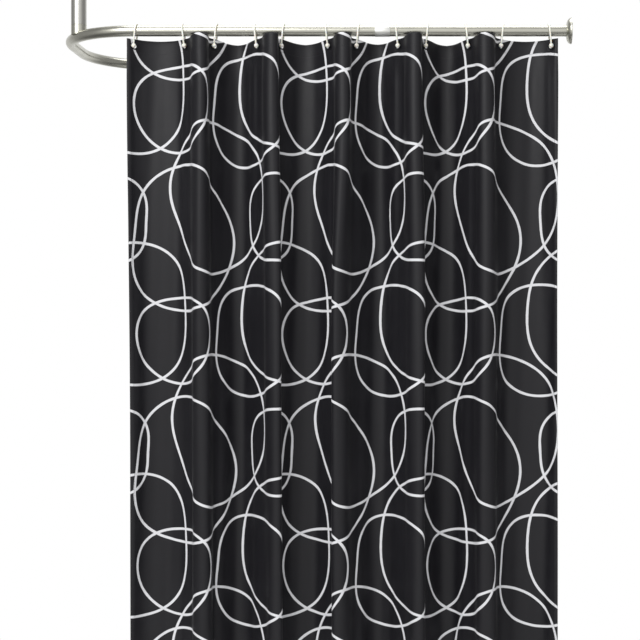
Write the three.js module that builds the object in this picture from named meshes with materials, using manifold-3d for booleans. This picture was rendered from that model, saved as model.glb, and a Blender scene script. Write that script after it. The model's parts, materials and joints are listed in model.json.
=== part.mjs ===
// A shower curtain on twelve C-shaped snap hooks, hung from the near arm of a U-shaped tube rail.
//
// Millimetres, +Z up. The origin is on the wall face of the near arm's flange, on the tube's axis.
// Both arms run from the wall towards -X, the near arm along y = 0 and the far arm behind it, and a
// bend joins them. A post carries the bend from the ceiling. The curtain is looked at from -Y.

import * as THREE from "three";
import { mergeVertices } from "three/addons/utils/BufferGeometryUtils.js";
import Module from "manifold-3d";

const wasm = await Module();
wasm.setup();

// ---------------------------------------------------------------- driving dimensions

const GAP = 0.3; // between pieces that touch

// Rail: a bent tube and two straight ones.
const RAIL_RADIUS = 16;
const RAIL_WALL = 1.2;
const ARM_SPACING = 600; // from axis to axis
const BEND_RADIUS = 236;
const JOINT_FROM_WALL = 548; // where the straight tubes meet the bent one
const RAIL_PAST_FIRST_HOOK = -4; // from the first eyelet to the start of the bend

// Couplers: a hidden spigot in the tubes, a thin band over the joint and a grub screw.
const SPIGOT_WALL = 1.5;
const SPIGOT_LENGTH = 80;
const BAND_LENGTH = 43;
const BAND_WALL = 0.5;
const BAND_CLEARANCE = 0.2;

// Ceiling post, on a saddle that sits on the bend.
const POST_RADIUS = 22.5;
const POST_WALL = 1.5;
const POST_TURN = THREE.MathUtils.degToRad(52); // how far round the bend it stands
const CEILING_HEIGHT = 400; // above the rail's axis
const SADDLE_LOW = 6; // above the rail's axis
const SADDLE_NECK = 18; // above the top of the rail
const SADDLE_SPIGOT = 26;
const STUD_RADIUS = 3;
const STUD_REACH = 8; // into the rail, below its upper wall

// Wall and ceiling fixings: a plate with a spigot, a dished cover, three screws and a grub screw.
const PLATE_BORDER = 18; // beyond the tube
const PLATE_THICKNESS = 3;
const PLATE_SPIGOT = 22;
const COVER_BORDER = 22; // beyond the tube
const COVER_HEIGHT = 15;
const COVER_WALL = 1.2;
const SCREW_COUNT = 3;
const SCREW_INSET = 7; // from the plate's edge to a screw's axis
const SCREW_RADIUS = 2;
const SCREW_HEAD_RADIUS = 4;
const SCREW_HEAD_HEIGHT = 2.4;
const GRUB_RADIUS = 2;
const GRUB_LENGTH = 5;
const GRUB_PAST_COVER = 4;

// Curtain: one cut width, hemmed all round.
const CLOTH_WIDTH = 1800;
const CLOTH_DROP = 1800;
const CLOTH_THICKNESS = 0.4;
const HEM_THICKNESS = 1.2; // three layers
const HEADING_DEPTH = 40;
const SIDE_HEM = 15;
const BOTTOM_HEM = 30;
const EDGE_MARGIN = 25; // from the cloth's edge to the first eyelet's centre
const LAST_HOOK_FROM_WALL = 60;
const CLOTH_TURN = 0.7; // radians between the cloth and the rail at an eyelet
const CREST_WIDTH = 0.15; // how broad a fold's crest is between its flanks
// Distance between neighbouring eyelets, as a share of the cloth between them. Every other panel
// is drawn together, so it stands forward in a deep fold.
const GATHER = [0.915, 0.547, 0.765, 0.456, 0.838, 0.528, 0.747, 0.511, 0.765, 0.602, 0.911];

// Hooks: a wire over the rail, with a ball on its front end.
const HOOK_WIRE = 2.5; // radius
const HOOK_CLEARANCE = 1.2; // over the rail
const HOOK_WIDENING = 2; // how much further out the legs stand than the crown
const HOOK_DROP = 26; // from the rail's underside to the lowest point of the wire
const BALL_RADIUS = 6.6;
const BALL_BELOW_WIRE = 3;
const HOOK_LEAN = THREE.MathUtils.degToRad(6);

// Eyelets: spool-shaped rings through the heading, with room for a hook's wire.
const EYELET_ROOM = 4; // from the wire to the bore
const EYELET_BARREL_WALL = 1;
const EYELET_FLANGE_WIDTH = 3.3;
const EYELET_PLATE = 0.8; // thickness of each flange
const EYELET_CLAMP = 0.4; // from the cloth to a flange
const EYELET_HANG = 2; // from the lowest point of the hook's wire to the eyelet's centre
const EYELET_BELOW_EDGE = 20;

// How finely round shapes are divided.
const TUBE_SIDES = 16;
const BEND_STEPS = 9; // in each quarter turn
const WIRE_SIDES = 6;
const WIRE_STEPS = 24;
const TURNED_SIDES = 16;
const SMALL_SIDES = 10;
const STATIONS_PER_PANEL = 8;

// ---------------------------------------------------------------- finishes

const polishedSteel = new THREE.MeshStandardMaterial({ color: 0xbdbdb6, metalness: 1, roughness: 0.25 });
const brightSteel = new THREE.MeshStandardMaterial({ color: 0xd8d8d2, metalness: 1, roughness: 0.2 });
const zincScrew = new THREE.MeshStandardMaterial({ color: 0x9a9a96, metalness: 1, roughness: 0.4 });
const blackCloth = new THREE.MeshStandardMaterial({ color: 0x232226, metalness: 0, roughness: 0.7 });
const blackPlastic = new THREE.MeshStandardMaterial({ color: 0x1b1b1e, metalness: 0, roughness: 0.4 });
const creamPlastic = new THREE.MeshStandardMaterial({ color: 0xeeece0, metalness: 0, roughness: 0.35 });

// ---------------------------------------------------------------- solids

// The solid of a closed geometry.
function solidOf(geometry) {
  const bare = geometry.index ? geometry.toNonIndexed() : geometry.clone();
  bare.deleteAttribute("normal");
  bare.deleteAttribute("uv");
  const merged = mergeVertices(bare, 1e-3);
  const mesh = new wasm.Mesh({
    numProp: 3,
    vertProperties: merged.attributes.position.array,
    triVerts: new Uint32Array(merged.index.array),
  });
  return new wasm.Manifold(mesh);
}

// The geometry of a solid.
function geometryOf(solid) {
  const mesh = solid.getMesh();
  const geometry = new THREE.BufferGeometry();
  geometry.setAttribute("position", new THREE.BufferAttribute(mesh.vertProperties, 3));
  geometry.setIndex(new THREE.BufferAttribute(mesh.triVerts, 1));
  return geometry;
}

function cut(geometry, tools) {
  let solid = solidOf(geometry);
  for (const tool of tools) solid = solid.subtract(solidOf(tool));
  return geometryOf(solid);
}

function join(geometries) {
  const [first, ...others] = geometries.map(solidOf);
  return geometryOf(others.reduce((whole, next) => whole.add(next), first));
}

function named(name, geometry, material) {
  const mesh = new THREE.Mesh(geometry, material);
  mesh.name = name;
  return mesh;
}

// Corners of a regular polygon, as an outline or as a hole.
function ringOfPoints(radius, sides) {
  return Array.from({ length: sides }, (_, i) => {
    const turn = (2 * Math.PI * i) / sides;
    return new THREE.Vector2(radius * Math.cos(turn), radius * Math.sin(turn));
  });
}

// A curve that is known at its stations only, so that a sweep has a section at each of them.
class SteppedCurve extends THREE.Curve {
  constructor(points, tangents) {
    super();
    this.points = points;
    this.tangents = tangents;
  }
  getPointAt(share) {
    return this.points[Math.round(share * (this.points.length - 1))].clone();
  }
  getTangentAt(share) {
    return this.tangents[Math.round(share * (this.tangents.length - 1))].clone();
  }
}

// A tube along a curve. With no bore it is a solid rod.
function tubeAlong(curve, radius, bore = 0) {
  const section = new THREE.Shape(ringOfPoints(radius, TUBE_SIDES));
  if (bore > 0) section.holes.push(new THREE.Path(ringOfPoints(bore, TUBE_SIDES)));
  const steps = curve.points.length - 1;
  return new THREE.ExtrudeGeometry(section, { steps, extrudePath: curve, bevelEnabled: false });
}

function straightCurve(from, to) {
  const tangent = to.clone().sub(from).normalize();
  return new SteppedCurve([from, to], [tangent, tangent]);
}

// A cylinder between two points.
function rod(from, to, radius, sides = SMALL_SIDES) {
  const length = from.distanceTo(to);
  const geometry = new THREE.CylinderGeometry(radius, radius, length, sides);
  const up = new THREE.Vector3(0, 1, 0);
  const direction = to.clone().sub(from).normalize();
  geometry.applyQuaternion(new THREE.Quaternion().setFromUnitVectors(up, direction));
  return geometry.translate(...from.clone().add(to).multiplyScalar(0.5).toArray());
}

// A turned shape about +X. Each point of the profile is a distance along X and a radius.
function turnedAboutX(profile, sides) {
  const points = profile.map(([along, radius]) => new THREE.Vector2(radius, along));
  return new THREE.LatheGeometry(points, sides).rotateZ(-Math.PI / 2);
}

// ---------------------------------------------------------------- the curtain's plan

const eyeletBore = HOOK_WIRE + EYELET_ROOM;
const eyeletBarrel = eyeletBore + EYELET_BARREL_WALL;
const eyeletFlange = eyeletBarrel + EYELET_FLANGE_WIDTH;
const panelCloth = (CLOTH_WIDTH - 2 * EDGE_MARGIN) / GATHER.length;
const flatReach = eyeletFlange + 1; // the eyelet holds the cloth flat this far from its centre

// The cloth's direction at share t of a panel. It leaves both eyelets at CLOTH_TURN, and the swell
// steepens the fold's two flanks, or flattens them where it is negative.
function panelDirection(t, side, swell) {
  const free = (t * panelCloth - flatReach) / (panelCloth - 2 * flatReach);
  const phase = Math.PI * THREE.MathUtils.clamp(free, 0, 1);
  const flanks = Math.sin(2 * phase) + CREST_WIDTH * Math.sin(4 * phase);
  return side * (CLOTH_TURN * Math.cos(phase) + swell * flanks);
}

function gatherOf(swell) {
  const samples = 200;
  let sum = 0;
  for (let i = 0; i < samples; i += 1) sum += Math.cos(panelDirection((i + 0.5) / samples, 1, swell));
  return sum / samples;
}

// The swell that draws a panel together to the wanted share of its cloth, found by halving.
function swellFor(gather) {
  let low = -CLOTH_TURN / 2;
  let high = 1.6;
  for (let i = 0; i < 40; i += 1) {
    const middle = (low + high) / 2;
    if (gatherOf(middle) > gather) low = middle;
    else high = middle;
  }
  return (low + high) / 2;
}

// The cloth seen from above: a place and a direction at each step of its width, with the last
// eyelet at x = -LAST_HOOK_FROM_WALL and every eyelet at y = 0.
function planOfCloth() {
  const fine = 160;
  const plan = [{ s: 0, x: 0, y: 0, turn: CLOTH_TURN }];
  const advance = (length, turn) => {
    const last = plan[plan.length - 1];
    const x = last.x + length * Math.cos(turn);
    const y = last.y + length * Math.sin(turn);
    plan.push({ s: last.s + length, x, y, turn });
  };
  advance(EDGE_MARGIN, CLOTH_TURN);
  const first = plan[plan.length - 1];
  for (const [panel, gather] of GATHER.entries()) {
    const side = panel % 2 === 0 ? 1 : -1;
    const swell = swellFor(gather);
    for (let i = 0; i < fine; i += 1) {
      advance(panelCloth / fine, panelDirection((i + 0.5) / fine, side, swell));
    }
  }
  const last = plan[plan.length - 1];
  const lastTurn = GATHER.length % 2 === 0 ? CLOTH_TURN : -CLOTH_TURN;
  advance(EDGE_MARGIN, lastTurn);
  const shift = -LAST_HOOK_FROM_WALL - last.x;
  return plan.map(({ s, x, y, turn }) => ({ s, x: x + shift, y: y - first.y, turn }));
}

const plan = planOfCloth();

// The place and direction of the cloth at a distance s from its left edge.
function clothAt(s) {
  const next = Math.max(1, plan.findIndex((p) => p.s >= s - 1e-6));
  const [a, b] = [plan[next - 1], plan[next]];
  const share = (s - a.s) / (b.s - a.s);
  return {
    x: THREE.MathUtils.lerp(a.x, b.x, share),
    y: THREE.MathUtils.lerp(a.y, b.y, share),
    turn: THREE.MathUtils.lerp(a.turn, b.turn, share),
  };
}

const eyelets = [0, ...GATHER].map((_, i) => {
  const s = EDGE_MARGIN + i * panelCloth;
  const { x, y } = clothAt(s);
  return { s, x, y, turn: i % 2 === 0 ? CLOTH_TURN : -CLOTH_TURN };
});

// Heights.
const wireLow = -RAIL_RADIUS - HOOK_DROP;
const eyeletHeight = wireLow - EYELET_HANG;
const clothTop = eyeletHeight + EYELET_BELOW_EDGE;
const clothBottom = clothTop - CLOTH_DROP;

// ---------------------------------------------------------------- the rail's layout

const bendStart = eyelets[0].x - RAIL_PAST_FIRST_HOOK;
const bendEnd = bendStart - BEND_RADIUS;

// A place on the rail's axis at an angle round the first quarter of the bend.
function onBend(turn) {
  const x = bendStart - BEND_RADIUS * Math.sin(turn);
  return new THREE.Vector3(x, BEND_RADIUS * (1 - Math.cos(turn)), 0);
}

// The bent tube's axis: from the near joint round to the far joint.
function bendCurve() {
  const points = [new THREE.Vector3(-JOINT_FROM_WALL - GAP / 2, 0, 0)];
  const tangents = [new THREE.Vector3(-1, 0, 0)];
  for (let i = 0; i <= BEND_STEPS; i += 1) {
    const turn = (Math.PI / 2) * (i / BEND_STEPS);
    points.push(onBend(turn));
    tangents.push(new THREE.Vector3(-Math.cos(turn), Math.sin(turn), 0));
  }
  const mirrored = points.map((p) => new THREE.Vector3(p.x, ARM_SPACING - p.y, 0)).reverse();
  const returning = tangents.map((t) => new THREE.Vector3(-t.x, t.y, 0)).reverse();
  return new SteppedCurve([...points, ...mirrored], [...tangents, ...returning]);
}

const postFoot = onBend(POST_TURN);
const saddleTop = RAIL_RADIUS + SADDLE_NECK;
const grubFromWall = COVER_HEIGHT + GRUB_PAST_COVER;

// ---------------------------------------------------------------- rail tubes and couplers

const spigotRadius = (radius, wall) => radius - wall - GAP;

// A cutter for a grub screw that enters a tube at x from below.
function grubHole(x, y) {
  const deep = new THREE.Vector3(x, y, -RAIL_RADIUS + RAIL_WALL + GRUB_LENGTH + GAP);
  return rod(new THREE.Vector3(x, y, -RAIL_RADIUS - 5), deep, GRUB_RADIUS + GAP);
}

function grubAt(name, x, y) {
  const from = new THREE.Vector3(x, y, -RAIL_RADIUS * Math.cos(Math.PI / TUBE_SIDES));
  return named(name, rod(from, from.clone().setZ(from.z + GRUB_LENGTH), GRUB_RADIUS), zincScrew);
}

function straightTube(name, y) {
  const start = new THREE.Vector3(-PLATE_THICKNESS - GAP, y, 0);
  const end = new THREE.Vector3(-JOINT_FROM_WALL + GAP / 2, y, 0);
  const tube = tubeAlong(straightCurve(start, end), RAIL_RADIUS, RAIL_RADIUS - RAIL_WALL);
  return named(name, cut(tube, [grubHole(-grubFromWall, y)]), polishedSteel);
}

const couplerGrubX = -JOINT_FROM_WALL - BAND_LENGTH / 2 - 6;

function bentTube() {
  const tube = tubeAlong(bendCurve(), RAIL_RADIUS, RAIL_RADIUS - RAIL_WALL);
  const studHole = rod(
    postFoot.clone().setZ(RAIL_RADIUS / 2),
    postFoot.clone().setZ(2 * RAIL_RADIUS),
    STUD_RADIUS + GAP,
  );
  const tools = [grubHole(couplerGrubX, 0), grubHole(couplerGrubX, ARM_SPACING), studHole];
  return named("rail_bend", cut(tube, tools), polishedSteel);
}

function coupler(side, y) {
  const middle = new THREE.Vector3(-JOINT_FROM_WALL, y, 0);
  const along = (length) => {
    const reach = new THREE.Vector3(length / 2, 0, 0);
    return straightCurve(middle.clone().add(reach), middle.clone().sub(reach));
  };
  const outer = spigotRadius(RAIL_RADIUS, RAIL_WALL);
  const spigot = tubeAlong(along(SPIGOT_LENGTH), outer, outer - SPIGOT_WALL);
  const bandBore = RAIL_RADIUS + BAND_CLEARANCE;
  const band = tubeAlong(along(BAND_LENGTH), bandBore + BAND_WALL, bandBore);
  return [
    named(`coupler_spigot_${side}`, cut(spigot, [grubHole(couplerGrubX, y)]), zincScrew),
    named(`coupler_band_${side}`, band, brightSteel),
    grubAt(`coupler_grub_${side}`, couplerGrubX, y),
  ];
}

// ---------------------------------------------------------------- wall and ceiling fixings

// One fixing with its back on the plane x = 0 and its tube running towards -X.
function fixing(side, tubeRadius, tubeWall) {
  const plateRadius = tubeRadius + PLATE_BORDER;
  const inner = spigotRadius(tubeRadius, tubeWall);
  const tip = -PLATE_THICKNESS - PLATE_SPIGOT;
  const pitch = plateRadius - SCREW_INSET;
  const turns = Array.from({ length: SCREW_COUNT }, (_, i) => (2 * Math.PI * (i + 0.25)) / SCREW_COUNT);
  const places = turns.map((turn) => [pitch * Math.cos(turn), pitch * Math.sin(turn)]);

  const plateProfile = [
    [tip, 0], [tip, inner], [-PLATE_THICKNESS, inner],
    [-PLATE_THICKNESS, plateRadius], [0, plateRadius], [0, 0],
  ];
  const plate = turnedAboutX(plateProfile, TURNED_SIDES);
  const holes = places.map(([y, z]) =>
    rod(new THREE.Vector3(-10, y, z), new THREE.Vector3(10, y, z), SCREW_RADIUS + GAP),
  );
  const grubTip = -tubeRadius + tubeWall + GRUB_LENGTH;
  const grubPocket = rod(
    new THREE.Vector3(-grubFromWall, 0, -tubeRadius - 5),
    new THREE.Vector3(-grubFromWall, 0, grubTip + GAP),
    GRUB_RADIUS + GAP,
  );
  const grubFace = -tubeRadius * Math.cos(Math.PI / TUBE_SIDES);
  const grub = rod(
    new THREE.Vector3(-grubFromWall, 0, grubFace),
    new THREE.Vector3(-grubFromWall, 0, grubTip),
    GRUB_RADIUS,
  );
  const seat = -PLATE_THICKNESS - GAP;
  const screw = turnedAboutX(
    [
      [seat - SCREW_HEAD_HEIGHT, 0],
      [seat - SCREW_HEAD_HEIGHT, SCREW_HEAD_RADIUS * 0.6],
      [seat, SCREW_HEAD_RADIUS],
      [seat, SCREW_RADIUS],
      [-GAP, SCREW_RADIUS],
      [-GAP, 0],
    ],
    SMALL_SIDES,
  );
  const group = new THREE.Group();
  group.add(named(`plate_${side}`, cut(plate, [...holes, grubPocket]), zincScrew));
  group.add(named(`cover_${side}`, turnedAboutX(coverProfile(tubeRadius), TURNED_SIDES), polishedSteel));
  group.add(named(`grub_${side}`, grub, zincScrew));
  places.forEach(([y, z], i) => {
    const mesh = named(`screw_${side}_${i + 1}`, screw, zincScrew);
    mesh.position.set(0, y, z);
    group.add(mesh);
  });
  return group;
}

// The dished cover's closed profile: out along the room side, then back along the inside.
function coverProfile(tubeRadius) {
  const steps = 4;
  const bore = tubeRadius + GAP + 0.1;
  const rim = tubeRadius + COVER_BORDER;
  const arc = (inset) =>
    Array.from({ length: steps + 1 }, (_, i) => {
      const turn = (Math.PI / 2) * (i / steps);
      const along = -GAP - (COVER_HEIGHT - GAP - inset) * Math.cos(turn);
      return [along, bore + (rim - inset - bore) * Math.sin(turn)];
    });
  const outside = arc(0);
  const inside = arc(COVER_WALL).reverse();
  return [...outside, ...inside, outside[0]];
}

function ceilingFixing() {
  const group = fixing("ceiling", POST_RADIUS, POST_WALL);
  group.rotation.y = -Math.PI / 2;
  group.position.copy(postFoot).setZ(CEILING_HEIGHT);
  return group;
}

// ---------------------------------------------------------------- ceiling post

function post() {
  const low = postFoot.clone().setZ(saddleTop + GAP);
  const high = postFoot.clone().setZ(CEILING_HEIGHT - PLATE_THICKNESS - GAP);
  const tube = tubeAlong(straightCurve(low, high), POST_RADIUS, POST_RADIUS - POST_WALL);
  const level = CEILING_HEIGHT - grubFromWall;
  const inside = new THREE.Vector3(postFoot.x + POST_RADIUS - POST_WALL - GRUB_LENGTH, postFoot.y, level);
  const outside = inside.clone().setX(postFoot.x + POST_RADIUS + 5);
  return named("post", cut(tube, [rod(inside, outside, GRUB_RADIUS + GAP)]), polishedSteel);
}

// A cast saddle: its foot is hollowed to sit on the bend, and its spigot fits the post.
function saddle() {
  const at = (z) => postFoot.clone().setZ(z);
  const neck = rod(at(SADDLE_LOW), at(saddleTop), POST_RADIUS, TUBE_SIDES);
  const spigot = rod(
    at(saddleTop - 1),
    at(saddleTop + SADDLE_SPIGOT),
    spigotRadius(POST_RADIUS, POST_WALL),
    TUBE_SIDES,
  );
  const seat = tubeAlong(bendCurve(), RAIL_RADIUS + GAP);
  const pocket = rod(at(0), at(saddleTop), STUD_RADIUS + GAP);
  return named("saddle", cut(join([neck, spigot]), [seat, pocket]), polishedSteel);
}

function stud() {
  const low = postFoot.clone().setZ(RAIL_RADIUS - RAIL_WALL - STUD_REACH);
  const high = postFoot.clone().setZ(saddleTop - GAP);
  return named("saddle_stud", rod(low, high, STUD_RADIUS), zincScrew);
}

// ---------------------------------------------------------------- curtain

// A band of cloth between two distances from its left edge and two heights.
function clothBand(from, to, low, high, thickness) {
  const inner = eyelets.slice(0, -1).flatMap((eyelet) => {
    const free = panelCloth - 2 * flatReach;
    const step = (i) => eyelet.s + flatReach + (free * i) / STATIONS_PER_PANEL;
    return Array.from({ length: STATIONS_PER_PANEL + 1 }, (_, i) => step(i));
  });
  const stations = [from, ...inner.filter((s) => s > from + 1 && s < to - 1), to];
  const offset = (s, side) => {
    const { x, y, turn } = clothAt(s);
    const reach = (side * thickness) / 2;
    return new THREE.Vector2(x - reach * Math.sin(turn), y + reach * Math.cos(turn));
  };
  const front = stations.map((s) => offset(s, -1));
  const back = stations.map((s) => offset(s, 1)).reverse();
  const outline = new THREE.Shape([...front, ...back]);
  const geometry = new THREE.ExtrudeGeometry(outline, { depth: high - low, bevelEnabled: false });
  return geometry.translate(0, 0, low);
}

function curtain() {
  const underHeading = clothTop - HEADING_DEPTH;
  const overHem = clothBottom + BOTTOM_HEM;
  const panelLow = overHem + GAP;
  const panelHigh = underHeading - GAP;
  const leftEdge = SIDE_HEM + GAP;
  const rightEdge = CLOTH_WIDTH - SIDE_HEM - GAP;
  const holes = eyelets.map(({ x, y, turn }) => {
    const normal = new THREE.Vector3(-Math.sin(turn), Math.cos(turn), 0).multiplyScalar(5);
    const centre = new THREE.Vector3(x, y, eyeletHeight);
    return rod(centre.clone().sub(normal), centre.clone().add(normal), eyeletBarrel + GAP, 12);
  });
  const heading = clothBand(0, CLOTH_WIDTH, underHeading, clothTop, HEM_THICKNESS);
  const panel = clothBand(leftEdge, rightEdge, panelLow, panelHigh, CLOTH_THICKNESS);
  const bottom = clothBand(0, CLOTH_WIDTH, clothBottom, overHem, HEM_THICKNESS);
  const left = clothBand(0, SIDE_HEM, panelLow, panelHigh, HEM_THICKNESS);
  const right = clothBand(CLOTH_WIDTH - SIDE_HEM, CLOTH_WIDTH, panelLow, panelHigh, HEM_THICKNESS);
  return [
    named("curtain_panel", panel, blackCloth),
    named("curtain_heading", cut(heading, holes), blackCloth),
    named("curtain_bottom_hem", bottom, blackCloth),
    named("curtain_left_hem", left, blackCloth),
    named("curtain_right_hem", right, blackCloth),
  ];
}

// ---------------------------------------------------------------- eyelets and hooks

function eyeletGeometry() {
  const seat = HEM_THICKNESS / 2 + EYELET_CLAMP;
  const face = seat + EYELET_PLATE;
  const profile = [
    [-face, eyeletBore], [-face, eyeletFlange], [-seat, eyeletFlange], [-seat, eyeletBarrel],
    [seat, eyeletBarrel], [seat, eyeletFlange], [face, eyeletFlange], [face, eyeletBore],
    [-face, eyeletBore],
  ];
  return turnedAboutX(profile, 12).rotateZ(Math.PI / 2);
}

// The hook in the plane x = 0, hung on a rail along x: from the ball in front of the cloth up over
// the rail, down behind it and forward through the eyelet.
function hookGeometry() {
  const crown = RAIL_RADIUS + HOOK_CLEARANCE + HOOK_WIRE;
  const side = crown + HOOK_WIDENING;
  const ball = new THREE.Vector3(0, -crown * 0.72, wireLow - BALL_BELOW_WIRE);
  const points = [ball, new THREE.Vector3(0, -side * 0.9, wireLow * 0.7)];
  for (let turn = 180; turn >= 0; turn -= 30) {
    const angle = THREE.MathUtils.degToRad(turn);
    points.push(new THREE.Vector3(0, side * Math.cos(angle), crown * Math.sin(angle)));
  }
  points.push(new THREE.Vector3(0, side * 0.9, wireLow * 0.6));
  points.push(new THREE.Vector3(0, side * 0.5, wireLow * 0.92));
  points.push(new THREE.Vector3(0, 0, wireLow));
  const tip = new THREE.Vector3(0, -crown * 0.27, wireLow + 0.8);
  points.push(tip);
  const path = new THREE.CatmullRomCurve3(points, false, "centripetal");
  const section = new THREE.Shape(ringOfPoints(HOOK_WIRE, WIRE_SIDES));
  const wire = new THREE.ExtrudeGeometry(section, {
    steps: WIRE_STEPS,
    extrudePath: path,
    bevelEnabled: false,
  });
  const ballSolid = new THREE.SphereGeometry(BALL_RADIUS, 8, 6).translate(...ball.toArray());
  return join([wire, ballSolid]);
}

// Odd hooks lean one way and even hooks the other, because a forward fold draws its two eyelets
// together.
function hooksAndEyelets() {
  const hook = hookGeometry();
  const ring = eyeletGeometry();
  return eyelets.flatMap(({ x, y, turn }, i) => {
    const number = String(i + 1).padStart(2, "0");
    const lean = i % 2 === 0 ? HOOK_LEAN : -HOOK_LEAN;
    const hookMesh = named(`hook_${number}`, hook, creamPlastic);
    hookMesh.rotation.y = lean;
    hookMesh.position.set(x - eyeletHeight * Math.sin(lean), y, 0);
    const eyeletMesh = named(`eyelet_${number}`, ring, blackPlastic);
    eyeletMesh.rotation.z = turn;
    eyeletMesh.position.set(x, y, eyeletHeight);
    return [hookMesh, eyeletMesh];
  });
}

// ---------------------------------------------------------------- the whole

const whole = new THREE.Group();
whole.add(straightTube("rail_front", 0), bentTube(), straightTube("rail_back", ARM_SPACING));
whole.add(...coupler("front", 0), ...coupler("back", ARM_SPACING));
const backFixing = fixing("back", RAIL_RADIUS, RAIL_WALL);
backFixing.position.y = ARM_SPACING;
whole.add(fixing("front", RAIL_RADIUS, RAIL_WALL), backFixing, ceilingFixing());
whole.add(post(), saddle(), stud());
whole.add(...curtain(), ...hooksAndEyelets());

export default whole;
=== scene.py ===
# %% [markdown]
# # A printed shower curtain on a bent rail
#
# The curtain is one cut sheet of woven polyester, hemmed on all four sides and held by twelve
# eyelets. Twelve moulded C-shaped hooks carry it on a steel tube that is bent into a U. This file
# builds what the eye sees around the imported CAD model, one kind of piece at a time. Every length
# is in metres, in the CAD model's own frame: +X runs into the wall, +Z is up, and the curtain is
# looked at from -Y.

import json
import math

import bmesh
import bpy
import numpy as np
from mathutils import Matrix, Vector, geometry


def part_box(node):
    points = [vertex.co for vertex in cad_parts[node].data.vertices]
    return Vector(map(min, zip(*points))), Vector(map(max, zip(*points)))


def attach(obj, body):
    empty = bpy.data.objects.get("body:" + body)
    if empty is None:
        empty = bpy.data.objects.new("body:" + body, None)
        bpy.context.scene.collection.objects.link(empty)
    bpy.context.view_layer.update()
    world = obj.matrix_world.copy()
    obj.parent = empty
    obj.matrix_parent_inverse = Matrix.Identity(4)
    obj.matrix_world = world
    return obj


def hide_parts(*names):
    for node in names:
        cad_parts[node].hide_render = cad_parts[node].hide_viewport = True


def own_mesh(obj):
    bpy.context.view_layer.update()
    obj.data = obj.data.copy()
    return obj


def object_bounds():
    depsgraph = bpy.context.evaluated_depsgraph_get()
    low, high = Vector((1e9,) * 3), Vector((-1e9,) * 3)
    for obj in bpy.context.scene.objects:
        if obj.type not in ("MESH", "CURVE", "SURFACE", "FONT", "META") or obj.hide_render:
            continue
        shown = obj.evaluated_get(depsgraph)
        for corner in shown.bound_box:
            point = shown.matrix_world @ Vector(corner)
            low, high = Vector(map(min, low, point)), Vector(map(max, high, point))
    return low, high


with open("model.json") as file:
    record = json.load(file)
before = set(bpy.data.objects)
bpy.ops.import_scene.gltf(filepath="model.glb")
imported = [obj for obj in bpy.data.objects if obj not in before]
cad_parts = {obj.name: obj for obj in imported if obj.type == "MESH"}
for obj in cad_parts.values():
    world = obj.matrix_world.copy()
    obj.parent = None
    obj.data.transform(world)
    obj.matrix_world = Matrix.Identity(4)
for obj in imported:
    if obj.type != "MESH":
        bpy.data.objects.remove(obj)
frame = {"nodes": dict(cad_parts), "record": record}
cad_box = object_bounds()
scene = bpy.context.scene
MM = 0.001
print("CAD box, m:", [round(x, 4) for corner in cad_box for x in corner])

# %% [markdown]
# ## Camera
#
# The object is looked at level and square on, from a little over four metres, as a catalogue
# picture of a curtain is. A long lens keeps the far arm of the rail small in its true proportion.
# The small sideways shift keeps the rail parallel to the picture's edge while the curtain sits
# left of the lens's own axis, which turning the camera would not do.

# %% Camera
camera_data = bpy.data.cameras.new("camera")
camera_data.sensor_width = 36
camera_data.lens = 84.6
camera_data.shift_x = -0.156
camera = bpy.data.objects.new("camera", camera_data)
camera.location = (-0.4397, -4.36, -0.838)
camera.rotation_euler = (math.radians(90), 0, 0)
scene.collection.objects.link(camera)
scene.camera = camera
print("Camera at", [round(x, 3) for x in camera.location], "lens", camera_data.lens, "mm")

# %% [markdown]
# ## Nodes and colours
#
# A shader is a small network of nodes. One helper adds a node, sets it and links it, so each
# finish below reads from top to bottom. Colours are written as sRGB hex values, the way a colour
# picker gives them, and one function turns them into the linear values that light needs.


# %% Helpers for finishes
def linear(hex_colour):
    """An sRGB colour such as "1b1a1e" as the linear RGBA that a shader works in."""
    levels = [int(hex_colour[i : i + 2], 16) / 255 for i in (0, 2, 4)]
    curve = [x / 12.92 if x <= 0.04045 else ((x + 0.055) / 1.055) ** 2.4 for x in levels]
    return (*curve, 1.0)


def add(tree, kind, links=None, values=None, **settings):
    """Adds one node. links and values go from an input's name or number to what feeds it."""
    node = tree.nodes.new(kind)
    for name, value in settings.items():
        setattr(node, name, value)
    for name, value in (values or {}).items():
        node.inputs[name].default_value = value
    for name, source in (links or {}).items():
        tree.links.new(source, node.inputs[name])
    return node


def new_finish(name, **sockets):
    """A material, its node tree and its shader, with constant sockets set."""
    material = bpy.data.materials.new(name)
    material.use_nodes = True
    tree = material.node_tree
    shader = tree.nodes["Principled BSDF"]
    for socket, value in sockets.items():
        shader.inputs[socket.replace("_", " ")].default_value = value
    return material, tree, shader


print("Mid grey, linear:", round(linear("808080")[0], 4))

# %% [markdown]
# ## Light and floor
#
# The studio is white in front and behind and dimmer at both sides, overhead and low down. That is
# what makes a polished tube read as round: it mirrors a bright band between two darker ones. The
# black cloth gets its folds from the same thing, since a crest that faces the light shines and
# its flanks don't. A large soft lamp from the upper left adds a direction.

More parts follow.
